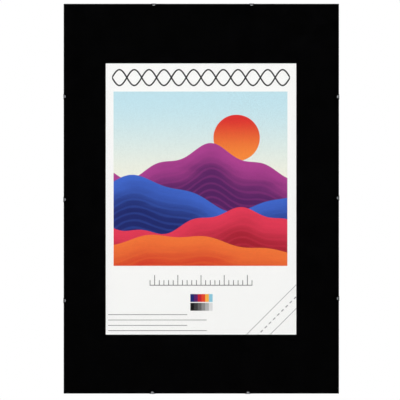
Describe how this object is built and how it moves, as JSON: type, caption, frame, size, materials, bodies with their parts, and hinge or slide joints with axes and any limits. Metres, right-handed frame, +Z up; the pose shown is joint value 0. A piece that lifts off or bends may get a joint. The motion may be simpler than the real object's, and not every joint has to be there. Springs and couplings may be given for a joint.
{
  "type": "clip frame",
  "caption": "Frameless A1 poster clip frame: a clear plastic sheet and a hardboard back held together by sprung steel edge clips, with swinging hanging rings on the back.",
  "frame": {"origin": "midway between the two portrait hanging rings, on the line of their bars", "axes": "+X right seen from the front, +Y to the wall, +Z up as the picture hangs upright"},
  "size_m": [0.596, 0.0109, 0.843],
  "materials": {
    "hardboard": "smooth hardboard",
    "black_card": "matt black",
    "print_paper": "satin print",
    "clear_styrene": "clear polished",
    "clip_steel": "bright zinc",
    "hanger_steel": "nickel"
  },
  "bodies": {
    "frame": {"backing_board": "hardboard", "black_card": "black_card", "print_insert": "print_paper", "clear_sheet": "clear_styrene", "hanger_rivets": "hanger_steel", "strap_portrait_left": "hanger_steel", "strap_portrait_right": "hanger_steel", "strap_landscape_upper": "hanger_steel", "strap_landscape_lower": "hanger_steel"},
    "clip_top_left": {"clip_top_left": "clip_steel"},
    "clip_top_right": {"clip_top_right": "clip_steel"},
    "clip_bottom_left": {"clip_bottom_left": "clip_steel"},
    "clip_bottom_right": {"clip_bottom_right": "clip_steel"},
    "clip_left_upper": {"clip_left_upper": "clip_steel"},
    "clip_left_middle": {"clip_left_middle": "clip_steel"},
    "clip_left_lower": {"clip_left_lower": "clip_steel"},
    "clip_right_upper": {"clip_right_upper": "clip_steel"},
    "clip_right_middle": {"clip_right_middle": "clip_steel"},
    "clip_right_lower": {"clip_right_lower": "clip_steel"},
    "ring_portrait_left": {"ring_portrait_left": "hanger_steel"},
    "ring_portrait_right": {"ring_portrait_right": "hanger_steel"},
    "ring_landscape_upper": {"ring_landscape_upper": "hanger_steel"},
    "ring_landscape_lower": {"ring_landscape_lower": "hanger_steel"}
  },
  "joints": [
    {"name": "clip_top_left_lift", "type": "hinge", "parent": "frame", "child": "clip_top_left", "pos_m": [-0.1026, -0.00866, 0.0674], "axis": [1, 0, 0], "range_deg": [0, 30], "stiffness_Nm_per_rad": 0.5, "springref_deg": -5.73},
    {"name": "clip_top_right_lift", "type": "hinge", "parent": "frame", "child": "clip_top_right", "pos_m": [0.1087, -0.00866, 0.0674], "axis": [1, 0, 0], "range_deg": [0, 30], "stiffness_Nm_per_rad": 0.5, "springref_deg": -5.73},
    {"name": "clip_bottom_left_lift", "type": "hinge", "parent": "frame", "child": "clip_bottom_left", "pos_m": [-0.1054, -0.00866, -0.7684], "axis": [-1, 0, 0], "range_deg": [0, 30], "stiffness_Nm_per_rad": 0.5, "springref_deg": -5.73},
    {"name": "clip_bottom_right_lift", "type": "hinge", "parent": "frame", "child": "clip_bottom_right", "pos_m": [0.1008, -0.00866, -0.7684], "axis": [-1, 0, 0], "range_deg": [0, 30], "stiffness_Nm_per_rad": 0.5, "springref_deg": -5.73},
    {"name": "clip_left_upper_lift", "type": "hinge", "parent": "frame", "child": "clip_left_upper", "pos_m": [-0.2944, -0.00866, -0.1303], "axis": [0, 0, 1], "range_deg": [0, 30], "stiffness_Nm_per_rad": 0.5, "springref_deg": -5.73},
    {"name": "clip_left_middle_lift", "type": "hinge", "parent": "frame", "child": "clip_left_middle", "pos_m": [-0.2944, -0.00866, -0.3523], "axis": [0, 0, 1], "range_deg": [0, 30], "stiffness_Nm_per_rad": 0.5, "springref_deg": -5.73},
    {"name": "clip_left_lower_lift", "type": "hinge", "parent": "frame", "child": "clip_left_lower", "pos_m": [-0.2944, -0.00866, -0.5704], "axis": [0, 0, 1], "range_deg": [0, 30], "stiffness_Nm_per_rad": 0.5, "springref_deg": -5.73},
    {"name": "clip_right_upper_lift", "type": "hinge", "parent": "frame", "child": "clip_right_upper", "pos_m": [0.2944, -0.00866, -0.1309], "axis": [0, 0, -1], "range_deg": [0, 30], "stiffness_Nm_per_rad": 0.5, "springref_deg": -5.73},
    {"name": "clip_right_middle_lift", "type": "hinge", "parent": "frame", "child": "clip_right_middle", "pos_m": [0.2944, -0.00866, -0.3491], "axis": [0, 0, -1], "range_deg": [0, 30], "stiffness_Nm_per_rad": 0.5, "springref_deg": -5.73},
    {"name": "clip_right_lower_lift", "type": "hinge", "parent": "frame", "child": "clip_right_lower", "pos_m": [0.2944, -0.00866, -0.5655], "axis": [0, 0, -1], "range_deg": [0, 30], "stiffness_Nm_per_rad": 0.5, "springref_deg": -5.73},
    {"name": "ring_portrait_left_swing", "type": "hinge", "parent": "frame", "child": "ring_portrait_left", "pos_m": [-0.18, 0, 0], "axis": [1, 0, 0], "range_deg": [0, 180]},
    {"name": "ring_portrait_right_swing", "type": "hinge", "parent": "frame", "child": "ring_portrait_right", "pos_m": [0.18, 0, 0], "axis": [1, 0, 0], "range_deg": [0, 180]},
    {"name": "ring_landscape_upper_swing", "type": "hinge", "parent": "frame", "child": "ring_landscape_upper", "pos_m": [-0.227, 0, -0.1105], "axis": [0, 0, 1], "range_deg": [0, 180]},
    {"name": "ring_landscape_lower_swing", "type": "hinge", "parent": "frame", "child": "ring_landscape_lower", "pos_m": [-0.227, 0, -0.5905], "axis": [0, 0, 1], "range_deg": [0, 180]}
  ]
}
